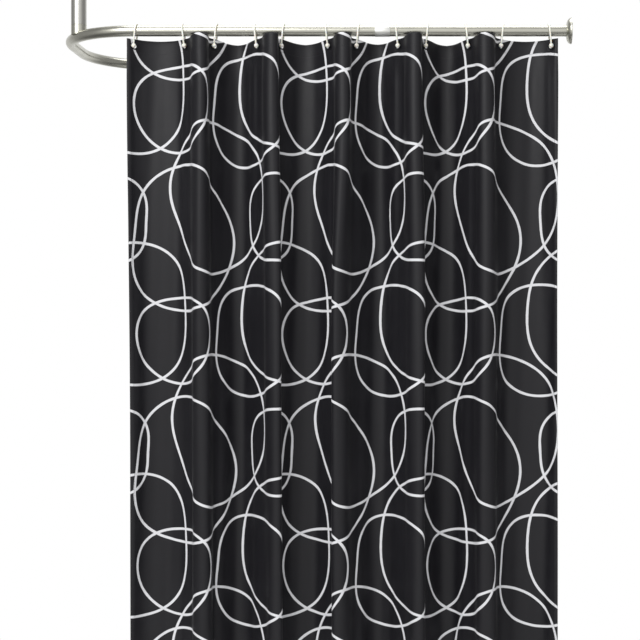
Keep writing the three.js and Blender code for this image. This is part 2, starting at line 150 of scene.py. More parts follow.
# %% Studio surroundings
scene.view_settings.view_transform = "Standard"
world = bpy.data.worlds.new("studio")
scene.world = world
world.use_nodes = True
sky = world.node_tree
sky_light = sky.nodes["Background"]
towards = add(sky, "ShaderNodeTexCoord").outputs["Generated"]
parts = add(sky, "ShaderNodeSeparateXYZ", {0: towards}).outputs
facing = add(sky, "ShaderNodeMath", {0: parts["Y"]}, operation="ABSOLUTE").outputs[0]
sides = add(
    sky, "ShaderNodeMapRange", {"Value": facing},
    {"From Min": 0.3, "From Max": 0.93, "To Min": 0.36, "To Max": 1.0},
    interpolation_type="SMOOTHSTEP",
).outputs[0]
brightness = sides
for low, high, at_low, at_high in ((-0.62, -0.26, 0.4, 1.0), (0.26, 0.62, 1.0, 0.75)):
    band = add(
        sky, "ShaderNodeMapRange", {"Value": parts["Z"]},
        {"From Min": low, "From Max": high, "To Min": at_low, "To Max": at_high},
        interpolation_type="SMOOTHSTEP",
    ).outputs[0]
    brightness = add(sky, "ShaderNodeMath", {0: brightness, 1: band}, operation="MULTIPLY").outputs[0]
sky.links.new(brightness, sky_light.inputs["Strength"])
sky_light.inputs["Color"].default_value = (1, 1, 1, 1)
print("Studio set")


# %% Lamps
def lamp(name, place, towards_point, size, watts):
    """A square soft lamp at a place, turned towards a point."""
    data = bpy.data.lights.new(name, "AREA")
    data.size = size
    data.energy = watts
    made = bpy.data.objects.new(name, data)
    made.location = place
    turn = (Vector(towards_point) - Vector(place)).to_track_quat("-Z", "Y")
    made.rotation_euler = turn.to_euler()
    scene.collection.objects.link(made)


lamp("key_lamp", (-2.6, -3.4, 1.6), (-0.7, 0, -0.8), 2.4, 105)
lamp("top_lamp", (-0.8, 0.4, 2.6), (-0.8, 0.1, -2), 2.6, 70)

# %% Floor
FLOOR_LEVEL = -2.03
paint, paint_tree, paint_shader = new_finish("pale_floor_paint", Roughness=0.6)
paint_shader.inputs["Base Color"].default_value = linear("f4f4f4")
floor_bm = bmesh.new()
bmesh.ops.create_circle(
    floor_bm, cap_ends=True, segments=128, radius=1.3,
    matrix=Matrix.Translation((-0.76, 0.1, FLOOR_LEVEL)),
)
floor_mesh = bpy.data.meshes.new("floor")
floor_bm.to_mesh(floor_mesh)
floor_bm.free()
floor_mesh.materials.append(paint)
floor = bpy.data.objects.new("floor", floor_mesh)
scene.collection.objects.link(floor)
print("Floor at", FLOOR_LEVEL)

# %% [markdown]
# ## Metal finishes
#
# The rail is drawn steel tube that is polished and then plated. Drawing leaves faint lines along
# the tube and handling leaves faint smears, and both change the roughness more than the colour.
# The joint bands are rolled bright sheet, a little paler. The screws and the plates behind the
# covers are zinc plated, which is greyer and duller, with a slight bluish bloom.


# %% Steel, band and zinc
def metal(name, colour, smear_colour, roughness, line_scale):
    """A plated metal. line_scale stretches the drawing lines: small along them, large across."""
    finish, tree, shader = new_finish(name, Metallic=1.0)
    place = add(tree, "ShaderNodeTexCoord").outputs["Object"]
    smear = add(
        tree, "ShaderNodeTexNoise", {"Vector": place},
        {"Scale": 1 / (60 * MM), "Detail": 3.0, "Roughness": 0.55},
    ).outputs[0]
    tint = add(
        tree, "ShaderNodeMix", {"Factor": smear},
        {6: linear(colour), 7: linear(smear_colour)}, data_type="RGBA",
    ).outputs[2]
    stretched = add(
        tree, "ShaderNodeMapping", {"Vector": place}, {"Scale": line_scale},
    ).outputs[0]
    lines = add(
        tree, "ShaderNodeTexNoise", {"Vector": stretched},
        {"Scale": 1.0, "Detail": 2.0, "Roughness": 0.6},
    ).outputs[0]
    dull = add(
        tree, "ShaderNodeMapRange", {"Value": smear},
        {"From Min": 0.3, "From Max": 0.75, "To Min": roughness, "To Max": roughness + 0.1},
    ).outputs[0]
    bump = add(
        tree, "ShaderNodeBump", {"Height": lines}, {"Strength": 0.12, "Distance": 0.02 * MM},
    ).outputs[0]
    tree.links.new(tint, shader.inputs["Base Color"])
    tree.links.new(dull, shader.inputs["Roughness"])
    tree.links.new(bump, shader.inputs["Normal"])
    return finish


ALONG, ACROSS = 1 / (120 * MM), 1 / (1.2 * MM)
steel_along_x = metal("plated_steel_tube_x", "c6c5bb", "b8b7ab", 0.26, (ALONG, ACROSS, ACROSS))
steel_along_z = metal("plated_steel_tube_z", "c6c5c0", "b8b7b0", 0.26, (ACROSS, ACROSS, ALONG))
steel_even = metal("plated_steel_pressing", "c6c5bb", "b8b7ab", 0.26, (ACROSS, ACROSS, ACROSS))
band_steel = metal("rolled_bright_steel_band", "f2f2ee", "e8e8e4", 0.42, (ACROSS, ALONG, ALONG))
zinc = metal("zinc_plated_steel", "9fa09f", "8a8c8e", 0.38, (ACROSS, ACROSS, ACROSS))
print("Metals:", steel_along_x.name, band_steel.name, zinc.name)

# %% [markdown]
# ## Moulded plastics
#
# Hooks are injection-moulded acetal in a creamy white: glossy, with a very fine orange-peel
# ripple from the mould and a slightly yellow body. The eyelets are black nylon, which is duller.


# %% Cream and black plastic
def moulded(name, colour, deep_colour, roughness, ripple):
    """A moulded plastic whose colour drifts a little and whose skin ripples, in metres."""
    finish, tree, shader = new_finish(name, IOR=1.48)
    place = add(tree, "ShaderNodeTexCoord").outputs["Object"]
    cloud = add(
        tree, "ShaderNodeTexNoise", {"Vector": place}, {"Scale": 1 / (9 * MM), "Detail": 2.0},
    ).outputs[0]
    tint = add(
        tree, "ShaderNodeMix", {"Factor": cloud},
        {6: linear(colour), 7: linear(deep_colour)}, data_type="RGBA",
    ).outputs[2]
    peel = add(
        tree, "ShaderNodeTexNoise", {"Vector": place}, {"Scale": 1 / (1.1 * MM), "Detail": 1.0},
    ).outputs[0]
    sheen = add(
        tree, "ShaderNodeMapRange", {"Value": cloud},
        {"To Min": roughness - 0.05, "To Max": roughness + 0.08},
    ).outputs[0]
    bump = add(
        tree, "ShaderNodeBump", {"Height": peel}, {"Strength": 0.2, "Distance": ripple},
    ).outputs[0]
    tree.links.new(tint, shader.inputs["Base Color"])
    tree.links.new(sheen, shader.inputs["Roughness"])
    tree.links.new(bump, shader.inputs["Normal"])
    return finish, shader


cream_acetal, cream_shader = moulded("moulded_acetal_cream", "fcfaf0", "f7f4e8", 0.3, 0.03 * MM)
cream_shader.inputs["Subsurface Weight"].default_value = 0.3
cream_shader.inputs["Subsurface Radius"].default_value = (2 * MM, 1.6 * MM, 1.2 * MM)
black_nylon, _ = moulded("moulded_nylon_black", "1c1c1f", "141416", 0.42, 0.04 * MM)
print("Plastics:", cream_acetal.name, black_nylon.name)

# %% [markdown]
# ## Printed cloth
#
# The cloth is plain-woven polyester, dyed black and printed with thin white rings that cross each
# other freely. The print repeats, because a printing screen has a fixed size. It has to follow
# the cloth into its folds, so it is drawn from the sheet's own UV map, which holds each point's
# place on the flat cloth in metres. A ring is a circle whose radius swells and shrinks by a few
# slow waves round its centre, and the ink is where a point is close to that radius. The threads
# are about 0.3 mm apart, too fine to show, so the weave is drawn at 1.4 mm.

# %% Print pattern
REPEAT_ACROSS, REPEAT_DOWN = 636, 671  # mm
LINE = 7.4  # mm, the ink's width
# Each ring: centre across and down, half its width and height, then waves as (how many lobes,
# how strong, and the angle of the first lobe, clockwise from the right as the cloth is looked at).
RINGS = [
    (161, 198, 137, 126, [(3, 0.04, 85), (4, 0.01, 45)]),
    (481, 202, 150, 166, [(4, 0.03, 45), (3, 0.03, 250), (5, 0.012, 20)]),
    (627, 124, 201, 211, [(4, 0.035, 45), (3, 0.03, 300), (5, 0.01, 80)]),
    (330, 457, 199, 218, [(3, 0.03, 100), (4, 0.02, 20), (5, 0.012, 250)]),
    (203, 583, 197, 213, [(3, 0.05, 10), (4, 0.02, 60), (5, 0.01, 140)]),
    (582, 523, 120, 130, [(4, 0.05, 45), (3, 0.02, 200)]),
]
print(len(RINGS), "rings in each repeat of", REPEAT_ACROSS, "x", REPEAT_DOWN, "mm")


# %% Printed and plain cloth
SHADED_SHINE = 0.34  # 0.5 is a bare surface: threads shade each other, so a weave shines less


def woven_cloth(name, ground, ground_light, ink=None):
    """Woven polyester on the flat cloth's UV map. ink is the print's colour, or None."""
    finish, tree, shader = new_finish(
        name, IOR=1.5, Specular_IOR_Level=SHADED_SHINE, Sheen_Weight=0.04, Sheen_Roughness=0.45,
    )

    def maths(operation, *inputs):
        links = {i: x for i, x in enumerate(inputs) if not isinstance(x, (int, float))}
        values = {i: x for i, x in enumerate(inputs) if isinstance(x, (int, float))}
        return add(tree, "ShaderNodeMath", links, values, operation=operation).outputs[0]

    uv = add(tree, "ShaderNodeUVMap", uv_map="flat_cloth").outputs[0]
    flat = add(
        tree, "ShaderNodeVectorMath", {0: uv}, {"Scale": 1 / MM}, operation="SCALE",
    ).outputs[0]
    across, down, _ = add(tree, "ShaderNodeSeparateXYZ", {0: flat}).outputs
    dye = add(
        tree, "ShaderNodeTexNoise", {"Vector": flat}, {"Scale": 1 / 45, "Detail": 4.0},
    ).outputs[0]
    colour = add(
        tree, "ShaderNodeMix", {"Factor": dye},
        {6: linear(ground), 7: linear(ground_light)}, data_type="RGBA",
    ).outputs[2]
    roughness = maths("MULTIPLY_ADD", dye, 0.1, 0.44)
    if ink:
        nearest = 1000.0
        for centre_across, centre_down, half_width, half_height, waves in RINGS:
            u = maths("WRAP", maths("SUBTRACT", across, centre_across),
                      REPEAT_ACROSS / 2, -REPEAT_ACROSS / 2)
            v = maths("WRAP", maths("SUBTRACT", down, centre_down),
                      REPEAT_DOWN / 2, -REPEAT_DOWN / 2)
            radius = maths("SQRT", maths("ADD", maths("MULTIPLY", u, u), maths("MULTIPLY", v, v)))
            angle = maths("ARCTAN2", v, u)
            mean = (half_width + half_height) / 2
            oval = (2, (half_width - half_height) / (half_width + half_height), 0)
            target = mean
            for lobes, strength, first in [oval, *waves]:
                wave = maths("COSINE", maths("MULTIPLY_ADD", angle, lobes,
                                             -math.radians(first) * lobes))
                target = maths("MULTIPLY_ADD", wave, mean * strength, target)
            nearest = maths("MINIMUM", nearest,
                            maths("ABSOLUTE", maths("SUBTRACT", radius, target)))
        wander = add(
            tree, "ShaderNodeTexNoise", {"Vector": flat}, {"Scale": 1 / 30, "Detail": 1.0},
        ).outputs[0]
        edge = maths("SUBTRACT", nearest, maths("MULTIPLY_ADD", wander, 1.2, -0.6))
        inked = add(
            tree, "ShaderNodeMapRange", {"Value": edge},
            {"From Min": LINE / 2 - 0.5, "From Max": LINE / 2 + 0.5, "To Min": 1.0, "To Max": 0.0},
            interpolation_type="SMOOTHSTEP",
        ).outputs[0]
        colour = add(
            tree, "ShaderNodeMix", {"Factor": inked, 6: colour}, {7: linear(ink)},
            data_type="RGBA",
        ).outputs[2]
        roughness = maths("MULTIPLY_ADD", inked, 0.14, roughness)
    thread = 1.4
    warp = maths("SINE", maths("MULTIPLY", across, 2 * math.pi / thread))
    weft = maths("SINE", maths("MULTIPLY", down, 2 * math.pi / thread))
    weave = maths("MULTIPLY", warp, weft)
    crumple = add(
        tree, "ShaderNodeTexNoise", {"Vector": flat},
        {"Scale": 1 / 22, "Detail": 3.0, "Roughness": 0.5},
    ).outputs[0]
    fine = add(
        tree, "ShaderNodeBump", {"Height": weave}, {"Strength": 0.35, "Distance": 0.05 * MM},
    ).outputs[0]
    soft = add(
        tree, "ShaderNodeBump", {"Height": crumple, "Normal": fine},
        {"Strength": 0.25, "Distance": 1.2 * MM},
    ).outputs[0]
    tree.links.new(colour, shader.inputs["Base Color"])
    tree.links.new(roughness, shader.inputs["Roughness"])
    tree.links.new(soft, shader.inputs["Normal"])
    return finish


printed_polyester = woven_cloth("woven_polyester_printed", "0e0d12", "17161b", ink="e4e4e7")
polyester_back = woven_cloth("woven_polyester_back", "121116", "1b1a1f", ink="4a4a4d")
sewing_thread = woven_cloth("spun_polyester_thread", "222125", "2e2d31")
print("Cloth finishes:", printed_polyester.name, polyester_back.name, sewing_thread.name)

# %% [markdown]
# ## Making pieces
#
# Each piece starts as a bmesh, which is a mesh that can be edited by operators. When it is done,
# one function gives it smooth shading with crisp corners, a finish and the CAD body it moves with,
# and hides the CAD nodes it stands for.


# %% Helpers for pieces
CORNER = math.radians(35)


def add_piece(name, bm, body, finish, stands_for=(), open_sheet=False):
    """Turns a bmesh into a piece of the object that rides on a CAD body."""
    if not open_sheet:
        bmesh.ops.recalc_face_normals(bm, faces=bm.faces)
    for face in bm.faces:
        face.smooth = True
    for edge in bm.edges:
        edge.smooth = not (len(edge.link_faces) == 2 and edge.calc_face_angle() > CORNER)
    mesh = bpy.data.meshes.new(name)
    bm.to_mesh(mesh)
    bm.free()
    mesh.materials.append(finish)
    piece = bpy.data.objects.new(name, mesh)
    scene.collection.objects.link(piece)
    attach(piece, body)
    if stands_for:
        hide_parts(*stands_for)
    return piece


def turned(profile, steps, place=Matrix()):
    """A turned shape: a closed outline of (radius, height) in mm, spun about Z and then placed."""
    bm = bmesh.new()
    corners = [bm.verts.new((radius * MM, 0, along * MM)) for radius, along in profile]
    outline = [bm.edges.new((a, b)) for a, b in zip(corners, corners[1:] + corners[:1])]
    bmesh.ops.spin(
        bm, geom=corners + outline, cent=(0, 0, 0), axis=(0, 0, 1), angle=2 * math.pi,
        steps=steps, use_merge=True,
    )
    bmesh.ops.remove_doubles(bm, verts=bm.verts, dist=1e-6)
    bmesh.ops.transform(bm, matrix=place, verts=bm.verts)
    return bm


def section_frame(path, i, flat_axis, radius):
    """The matrix that puts a unit circle square to the path at its i-th point."""
    ahead = (path[min(i + 1, len(path) - 1)] - path[max(i - 1, 0)]).normalized()
    flat = Vector(flat_axis)
    turn = Matrix([flat, ahead.cross(flat), ahead]).transposed().to_4x4()
    return Matrix.Translation(path[i]) @ turn @ Matrix.Scale(radius, 4)


def sweep(bm, path, radii, flat_axis, sides):
    """Sweeps a circle along a path that lies square to flat_axis. Returns both end loops."""
    at = section_frame(path, 0, flat_axis, radii[0])
    first = bmesh.ops.create_circle(bm, segments=sides, radius=1, matrix=at)["verts"]
    loop = list({edge for vert in first for edge in vert.link_edges})
    ends = [loop]
    for i in range(1, len(path)):
        made = bmesh.ops.extrude_edge_only(bm, edges=loop)["geom"]
        verts = [g for g in made if isinstance(g, bmesh.types.BMVert)]
        new = set(verts)
        loop = [g for g in made if isinstance(g, bmesh.types.BMEdge) and set(g.verts) <= new]
        after = section_frame(path, i, flat_axis, radii[i])
        bmesh.ops.transform(bm, matrix=after @ at.inverted(), verts=verts)
        at = after
    return [*ends, loop]


def hollow_tube(path, outer, wall, flat_axis, sides=64):
    """A tube: its outer skin is swept, then given a wall that grows inwards."""
    bm = bmesh.new()
    sweep(bm, path, [outer] * len(path), flat_axis, sides)
    bmesh.ops.recalc_face_normals(bm, faces=bm.faces)
    bmesh.ops.solidify(bm, geom=bm.faces[:] + bm.edges[:] + bm.verts[:], thickness=wall)
    return bm


def drill(bm, holes):
    """Cuts round holes, each (from, to, radius) in metres, and returns the cut bmesh."""
    mesh = bpy.data.meshes.new("drilled")
    bmesh.ops.recalc_face_normals(bm, faces=bm.faces)
    bm.to_mesh(mesh)
    bm.free()
    work = bpy.data.objects.new("drilled", mesh)
    scene.collection.objects.link(work)
    tools = []
    for start, end, radius in holes:
        line = Vector(end) - Vector(start)
        place = Matrix.Translation((Vector(start) + Vector(end)) / 2)
        place @= line.to_track_quat("Z", "Y").to_matrix().to_4x4()
        tool_bm = bmesh.new()
        bmesh.ops.create_cone(
            tool_bm, cap_ends=True, segments=32, radius1=radius, radius2=radius,
            depth=line.length, matrix=place,
        )
        tool_mesh = bpy.data.meshes.new("drill")
        tool_bm.to_mesh(tool_mesh)
        tool_bm.free()
        tool = bpy.data.objects.new("drill", tool_mesh)
        scene.collection.objects.link(tool)
        tools.append(tool)
        work.modifiers.new("hole", "BOOLEAN").object = tool
    bpy.context.view_layer.update()
    cut = bpy.data.meshes.new_from_object(
        work.evaluated_get(bpy.context.evaluated_depsgraph_get())
    )
    out = bmesh.new()
    out.from_mesh(cut)
    for o in [work, *tools]:
        bpy.data.objects.remove(o)
    return out


print("Corners sharper than", round(math.degrees(CORNER)), "degrees stay crisp")

# %% [markdown]
# ## Rail
#
# The rail is three tubes: two straight ones that start at the wall plates, and one bent round
# both corners between them. A tube is made as it really is, as a wall of even thickness, so its
# open ends would look right if it were taken apart. A circle swept along the tube's axis gives
# its outer skin, and the wall is then grown inwards from it, which leaves the bore.

# %% Measures of the rail
TUBE, TUBE_WALL = 16 * MM, 1.2 * MM
front_low, front_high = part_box("rail_front")
bend_low, bend_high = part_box("rail_bend")
back_low, back_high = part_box("rail_back")
FRONT_Y = (front_low.y + front_high.y) / 2
BACK_Y = (back_low.y + back_high.y) / 2
BEND_RADIUS = 236 * MM
JOINT_GAP = 0.3 * MM  # the clearance between two pieces that fit together
BEND_START = bend_low.x + TUBE + BEND_RADIUS
print("Arms", round(BACK_Y - FRONT_Y, 3), "m apart, bend starts at", round(BEND_START, 4))


# %% Tubes
def grub_hole(node, reach):
    """A drilled hole over a grub screw that lies along an axis, reach metres out and in."""
    low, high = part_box(node)
    middle, axis = (low + high) / 2, Vector(reach)
    return (middle - axis, middle + axis, 2.3 * MM)


for name, node, low, high, y in (
    ("front_tube", "rail_front", front_low, front_high, FRONT_Y),
    ("back_tube", "rail_back", back_low, back_high, BACK_Y),
):
    side = name.split("_")[0]
    tube_bm = hollow_tube([Vector((high.x, y, 0)), Vector((low.x, y, 0))], TUBE, TUBE_WALL, (0, 0, 1))
    tube_bm = drill(tube_bm, [grub_hole(f"grub_{side}", (0, 0, 5 * MM))])
    add_piece(name, tube_bm, "rail", steel_along_x, [node])

quarter = [math.radians(90) * i / 24 for i in range(25)]
near = [
    Vector((BEND_START - BEND_RADIUS * math.sin(a), FRONT_Y + BEND_RADIUS * (1 - math.cos(a)), 0))
    for a in quarter
]
far = [Vector((p.x, FRONT_Y + BACK_Y - p.y, 0)) for p in reversed(near)]
bend_path = [Vector((bend_high.x, FRONT_Y, 0)), *near, *far, Vector((bend_high.x, BACK_Y, 0))]
bend_bm = hollow_tube(bend_path, TUBE, TUBE_WALL, (0, 0, 1))
bend_bm = drill(bend_bm, [grub_hole(f"coupler_grub_{s}", (0, 0, 5 * MM)) for s in ("front", "back")])
add_piece("bent_tube", bend_bm, "rail", steel_even, ["rail_bend"])
print("Tubes made; the bent one has", len(bend_path), "sections")

# %% [markdown]
# A thin bright band hides each joint between two tubes. It is rolled sheet, so it is only half a
# millimetre thick, and its rims are turned in a little to grip the tube.

# %% Joint bands
for side, y in (("front", FRONT_Y), ("back", BACK_Y)):
    low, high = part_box(f"coupler_band_{side}")
    length = (high.x - low.x) / MM
    place = Matrix.Translation((low.x, y, 0)) @ Matrix.Rotation(math.radians(90), 4, "Y")
    profile = [
        (16.15, 0), (16.45, 0), (16.7, 0.4), (16.7, length - 0.4), (16.45, length),
        (16.15, length), (16.2, length - 0.6), (16.2, 0.6),
    ]
    add_piece(f"{side}_joint_band", turned(profile, 64, place), "rail",
              band_steel, [f"coupler_band_{side}"])
print("Bands are", round(length, 1), "mm long")

# %% [markdown]
# ## Ceiling post and saddle
#
# A wider tube drops from the ceiling to the bend. Its foot is a cast saddle: a short round block
# whose underside is hollowed to sit over the rail. The block is drilled with a copy of the rail's
# own path, so the hollow follows the bend.

# %% Post
POST, POST_WALL = 22.5 * MM, 1.5 * MM
post_low, post_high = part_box("post")
post_at = (post_low + post_high) / 2
post_path = [Vector((post_at.x, post_at.y, z)) for z in (post_low.z, post_high.z)]
post_bm = hollow_tube(post_path, POST, POST_WALL, (1, 0, 0))
post_bm = drill(post_bm, [grub_hole("grub_ceiling", (5 * MM, 0, 0))])
add_piece("ceiling_post", post_bm, "rail", steel_along_z, ["post"])
print("Post is", round(post_high.z - post_low.z, 4), "m long")

# %% Saddle
saddle_low, saddle_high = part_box("saddle")
neck_top = (post_low.z - JOINT_GAP) / MM
inner = (POST - POST_WALL - JOINT_GAP) / MM
foot = POST / MM
neck = [
    (0, saddle_low.z / MM), (foot, saddle_low.z / MM), (foot, neck_top - 0.5),
    (foot - 0.4, neck_top),
    (inner, neck_top), (inner, saddle_high.z / MM - 1), (inner - 1, saddle_high.z / MM),
    (0, saddle_high.z / MM),
]
saddle_bm = turned(neck, 64, Matrix.Translation((post_at.x, post_at.y, 0)))
seat_bm = bmesh.new()
seat_ends = sweep(seat_bm, bend_path, [TUBE + JOINT_GAP] * len(bend_path), (0, 0, 1), 64)
for loop in seat_ends:
    bmesh.ops.contextual_create(seat_bm, geom=loop)
bmesh.ops.recalc_face_normals(seat_bm, faces=seat_bm.faces)
seat_mesh = bpy.data.meshes.new("seat")
seat_bm.to_mesh(seat_mesh)
seat_bm.free()
seat = bpy.data.objects.new("seat", seat_mesh)
scene.collection.objects.link(seat)
saddle = add_piece("cast_saddle", saddle_bm, "rail", steel_even, ["saddle"])
hollow = saddle.modifiers.new("hollow", "BOOLEAN")
hollow.object = seat
bpy.context.view_layer.update()
evaluated = saddle.evaluated_get(bpy.context.evaluated_depsgraph_get())
saddle_mesh = bpy.data.meshes.new_from_object(evaluated)
saddle.modifiers.clear()
saddle.data = saddle_mesh
bpy.data.objects.remove(seat)
print("Saddle has", len(saddle.data.polygons), "faces")

# %% [markdown]
# ## Fixings
#
# At each wall and at the ceiling a flat plate is screwed on, the tube slides over its spigot, a
# grub screw locks it, and a dished cover hides the plate. The covers are spun steel pressings: a
# quarter-round dome with a small flat rim. The plates, spigots and screws are hidden behind them,
# so the CAD solids stay and only get their zinc finish.


# %% Covers
def cover_outline(tube_mm):
    """The cover's wall as (radius, height from the wall) in mm: out over the dome, then back."""
    bore, rim, tall, wall = tube_mm + 0.4, tube_mm + 22, 15, 1.2
    outer, inner = [], []
    for i in range(17):
        turn = math.radians(90) * i / 16
        outer.append((bore + (rim - bore) * math.sin(turn), 0.3 + (tall - 0.3) * math.cos(turn)))
        inner.append((bore + (rim - wall - bore) * math.sin(turn),
                      0.3 + (tall - wall - 0.3) * math.cos(turn)))
    return outer + inner[::-1]


to_room = Matrix.Rotation(math.radians(-90), 4, "Y")
to_floor = Matrix.Rotation(math.radians(180), 4, "X")
fixings = {
    "front": (Matrix.Translation((0, FRONT_Y, 0)) @ to_room, TUBE / MM),
    "back": (Matrix.Translation((0, BACK_Y, 0)) @ to_room, TUBE / MM),
    "ceiling": (Matrix.Translation((post_at.x, post_at.y, cad_box[1].z)) @ to_floor, POST / MM),
}
for side, (place, tube_mm) in fixings.items():
    add_piece(f"{side}_cover", turned(cover_outline(tube_mm), 96, place), "rail",
              steel_even, [f"cover_{side}"])
print("Covers on", ", ".join(fixings))

# %% Grub screws
# A grub screw has no head: a short rod with a hexagon socket. The socket is bridged to the round
# rim, then pushed in.


def grub_screw(place):
    """A grub screw in mm, its socket at the origin facing -Z, and its body going up."""
    bm = bmesh.new()
    rim = bmesh.ops.create_circle(bm, segments=24, radius=2 * MM)["verts"]
    socket = bmesh.ops.create_circle(bm, segments=6, radius=1.15 * MM)["verts"]
    rim_loop = list({e for v in rim for e in v.link_edges})
    socket_loop = list({e for v in socket for e in v.link_edges})
    bmesh.ops.bridge_loops(bm, edges=rim_loop + socket_loop)
    for loop, depth in ((rim_loop, 4.9), (socket_loop, 2.2)):
        made = bmesh.ops.extrude_edge_only(bm, edges=loop)["geom"]
        verts = [g for g in made if isinstance(g, bmesh.types.BMVert)]
        bmesh.ops.translate(bm, vec=(0, 0, depth * MM), verts=verts)
        bmesh.ops.contextual_create(bm, geom=verts)
    bmesh.ops.transform(bm, matrix=place, verts=bm.verts)
    return bm


for node in ("coupler_grub_front", "coupler_grub_back", "grub_front", "grub_back", "grub_ceiling"):
    low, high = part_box(node)
    middle = (low + high) / 2
    if node == "grub_ceiling":
        place = Matrix.Translation((high.x, middle.y, middle.z)) @ to_room
    else:
        place = Matrix.Translation((middle.x, middle.y, low.z))
    add_piece(node.replace("grub", "grub_screw"), grub_screw(place), "rail", zinc, [node])
print("Grub screws made")

# %% Zinc finish on the hidden CAD pieces
kept = [n for n in frame["nodes"] if n.split("_")[0] in ("plate", "screw")]
kept += ["coupler_spigot_front", "coupler_spigot_back", "saddle_stud"]
for node in kept:
    solid = frame["nodes"][node]
    solid.data.materials.clear()
    solid.data.materials.append(zinc)
print(len(kept), "CAD pieces keep their shape")

# %% [markdown]
# ## How the cloth hangs
#
# The cloth can't stretch, so its shape is worked out as a draper would: by how much of its width
# lies between two hooks. Seen from above it is a line of fixed length that turns as it goes. It
# leaves each eyelet at a set angle, alternately behind the hooks and in front of them. Where the
# hooks stand closer the line has to turn further, and past a right angle the fold overlaps its
# neighbour. A cloth simulation could settle it too, but every fold here has a known place, and
# a worked-out shape gives the same result on every run.

# %% The cloth's plan
CLOTH_WIDTH, CLOTH_DROP = 1.8, 1.8
SIDE_HEM, HEADING, BOTTOM_HEM = 15 * MM, 40 * MM, 30 * MM
EDGE_MARGIN = 25 * MM
HELD_FLAT = 11.8 * MM  # each side of an eyelet's centre
EYELET_TURN = 0.7  # radians between cloth and rail at an eyelet
GATHER = np.array([0.915, 0.547, 0.765, 0.456, 0.838, 0.528, 0.747, 0.511, 0.765, 0.602, 0.911])
PANELS = len(GATHER)
PANEL = (CLOTH_WIDTH - 2 * EDGE_MARGIN) / PANELS
LAST_EYELET = -60 * MM
eyelet_s = EDGE_MARGIN + PANEL * np.arange(PANELS + 1)
cloth_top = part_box("curtain_heading")[1].z
print("Cloth between two eyelets:", round(PANEL / MM, 1), "mm")

# %% How the folds change down the drop
ROWS = 121
down = np.linspace(0, CLOTH_DROP, ROWS)


def ease(x, start, end):
    """0 before start, 1 after end, smooth between."""
    share = np.clip((x - start) / (end - start), 0, 1)
    return share * share * (3 - 2 * share)


loosened = ease(down, 0.06, 1.3)
turn_down = EYELET_TURN + 0.1 * loosened + 0.03 * np.sin(down * 3.1) * ease(down, 0.06, 0.4)
LEAN = np.array([-0.012, 0.018, -0.02, -0.014, 0.012, -0.03, 0.022, -0.012, -0.02, 0.012, -0.016])
WAVER = np.array([0.008, -0.014, 0.01, 0.012, -0.012, 0.008, -0.01, 0.012, -0.012, 0.01, -0.012])
gather_down = (
    GATHER
    + np.outer(loosened, LEAN)
    + np.outer(np.sin(down * 4.2) * ease(down, 0.06, 0.5), WAVER)
)
print("Left edge moves in by", round(-(LEAN.sum() * PANEL) / MM, 1), "mm at the hem")


# %% Angle of every fold
CREST_WIDTH = 0.15  # how broad a fold's crest is between its flanks


def panel_angles(phase, turn, swell):
    """The cloth's direction through a panel. swell steepens the two flanks of its fold."""
    flanks = np.sin(2 * phase) + CREST_WIDTH * np.sin(4 * phase)
    return turn * np.cos(phase) + swell * flanks


def swell_for(gather, turn):
    """Halves the range until each fold takes up its share of cloth."""
    phase = np.pi * np.clip(
        ((np.arange(200) + 0.5) / 200 * PANEL - HELD_FLAT) / (PANEL - 2 * HELD_FLAT), 0, 1
    )
    low, high = np.full(gather.shape, -0.5) * turn[:, None], np.full(gather.shape, 1.6)
    for _ in range(40):
        middle = (low + high) / 2
        angles = panel_angles(phase[None, None], turn[:, None, None], middle[..., None])
        loose = np.cos(angles).mean(axis=2) > gather
        low, high = np.where(loose, middle, low), np.where(loose, high, middle)
    return (low + high) / 2


swell = swell_for(gather_down, turn_down)
COLUMNS = 1801
step = CLOTH_WIDTH / (COLUMNS - 1)
middles = (np.arange(COLUMNS - 1) + 0.5) * step
panel_of = np.floor((middles - EDGE_MARGIN) / PANEL).astype(int)
inside = np.clip(panel_of, 0, PANELS - 1)
within = middles - EDGE_MARGIN - inside * PANEL
phase = np.pi * np.clip((within - HELD_FLAT) / (PANEL - 2 * HELD_FLAT), 0, 1)
side_of = np.where(inside % 2 == 0, 1, -1)
angles = side_of * panel_angles(phase[None], turn_down[:, None], swell[:, inside])
print("The sharpest fold turns", round(math.degrees(np.abs(angles).max())), "degrees")

# %% Place of every point
x = np.concatenate([np.zeros((ROWS, 1)), np.cumsum(np.cos(angles) * step, axis=1)], axis=1)
y = np.concatenate([np.zeros((ROWS, 1)), np.cumsum(np.sin(angles) * step, axis=1)], axis=1)
across_s = np.linspace(0, CLOTH_WIDTH, COLUMNS)
last = int(round(eyelet_s[-1] / step))
x += (LAST_EYELET - x[:, last])[:, None]
y -= y[:, last][:, None]
# Folds lean sideways, more or less with height: one value for each panel at the top and low down.
LEAN_TOP = np.array([0, 0.2, 0, 0.3, 0, 0.15, 0, 0.25, 0, 0.1, 0])
LEAN_LOW = np.array([0, 0.15, 0, 0.42, 0, -0.3, 0, 0.36, 0, 0.12, 0])
lean_down = LEAN_TOP + np.outer(ease(down, 0.2, 0.8), LEAN_LOW - LEAN_TOP)
panel_at = np.clip(np.floor((across_s - EDGE_MARGIN) / PANEL).astype(int), 0, PANELS - 1)
# The lean starts beyond the flat patch that each eyelet grips, so no eyelet cuts its hem.
GRIPPED_DEPTH = HELD_FLAT * math.sin(EYELET_TURN)
LEAN_STARTS_OVER = 4 * MM
forward = np.clip(-y - GRIPPED_DEPTH, 0, None)
x += lean_down[:, panel_at] * forward * forward / (forward + LEAN_STARTS_OVER)
print("Cloth spans", round(float(np.ptp(x[0])), 3), "m wide and", round(float(np.ptp(y[0])), 3), "m deep")

